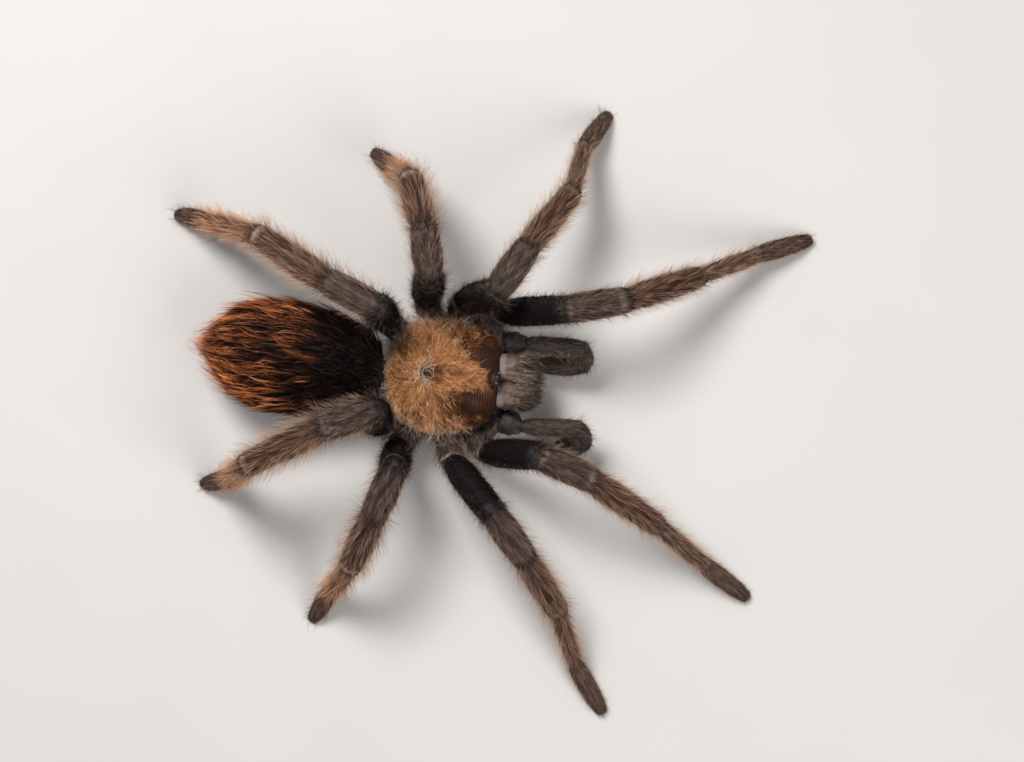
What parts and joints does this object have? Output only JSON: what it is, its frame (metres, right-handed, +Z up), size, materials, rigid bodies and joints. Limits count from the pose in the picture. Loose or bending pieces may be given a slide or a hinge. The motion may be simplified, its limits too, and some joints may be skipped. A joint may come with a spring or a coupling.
{
  "type": "tarantula model",
  "caption": "Life-size still model of a hairy brown male tarantula standing on a flat floor, legs spread, copper carapace, rust-haired abdomen.",
  "frame": {"origin": "on the floor, under the middle of the whole animal's box, legs included", "axes": "+X along the body towards the head, +Y to the animal's left, +Z up"},
  "size_m": [0.0936, 0.0884, 0.0261],
  "materials": {
    "copper_plush": "short copper-brown plush combed out from the pit of the carapace",
    "black_velvet": "dense jet-black velvet of very short hairs",
    "brown_hair": "dark brown hair laid lengthwise, with paler reddish-tan fringes",
    "charcoal_hair": "charcoal velvet hair",
    "grey_brown_hair": "shaggy grey-brown hair with pale tips",
    "rust_hair": "black under-hair with long rust-orange hairs swept to the rear",
    "bare_skin": "bare pinkish-grey joint skin, satin and finely creased",
    "black_chitin": "glossy black shell of the eyes, fangs and claws"
  },
  "bodies": {
    "root": {"carapace": "copper_plush", "eye_mound": "black_chitin", "sternum": "black_velvet", "abdomen": "rust_hair", "left_chelicera": "grey_brown_hair", "right_chelicera": "grey_brown_hair", "left_fang": "black_chitin", "right_fang": "black_chitin", "left_spinneret": "brown_hair", "right_spinneret": "brown_hair", "left_leg_1_coxa": "grey_brown_hair", "left_leg_1_femur": "black_velvet", "left_leg_1_patella": "brown_hair", "left_leg_1_tibia": "brown_hair", "left_leg_1_foot": "brown_hair", "left_leg_2_coxa": "grey_brown_hair", "left_leg_2_femur": "black_velvet", "left_leg_2_patella": "brown_hair", "left_leg_2_tibia": "brown_hair", "left_leg_2_foot": "brown_hair", "left_leg_3_coxa": "grey_brown_hair", "left_leg_3_femur": "black_velvet", "left_leg_3_patella": "brown_hair", "left_leg_3_tibia": "brown_hair", "left_leg_3_foot": "brown_hair", "left_leg_4_coxa": "grey_brown_hair", "left_leg_4_femur": "black_velvet", "left_leg_4_patella": "brown_hair", "left_leg_4_tibia": "brown_hair", "left_leg_4_foot": "brown_hair", "right_leg_1_coxa": "grey_brown_hair", "right_leg_1_femur": "black_velvet", "right_leg_1_patella": "brown_hair", "right_leg_1_tibia": "brown_hair", "right_leg_1_foot": "brown_hair", "right_leg_2_coxa": "grey_brown_hair", "right_leg_2_femur": "black_velvet", "right_leg_2_patella": "brown_hair", "right_leg_2_tibia": "brown_hair", "right_leg_2_foot": "brown_hair", "right_leg_3_coxa": "grey_brown_hair", "right_leg_3_femur": "black_velvet", "right_leg_3_patella": "brown_hair", "right_leg_3_tibia": "brown_hair", "right_leg_3_foot": "brown_hair", "right_leg_4_coxa": "grey_brown_hair", "right_leg_4_femur": "black_velvet", "right_leg_4_patella": "brown_hair", "right_leg_4_tibia": "brown_hair", "right_leg_4_foot": "brown_hair", "left_palp_coxa": "grey_brown_hair", "left_palp_femur": "charcoal_hair", "left_palp_patella": "brown_hair", "left_palp_tibia": "brown_hair", "left_palp_tarsus": "brown_hair", "right_palp_coxa": "grey_brown_hair", "right_palp_femur": "charcoal_hair", "right_palp_patella": "brown_hair", "right_palp_tibia": "brown_hair", "right_palp_tarsus": "brown_hair"}
  },
  "joints": []
}
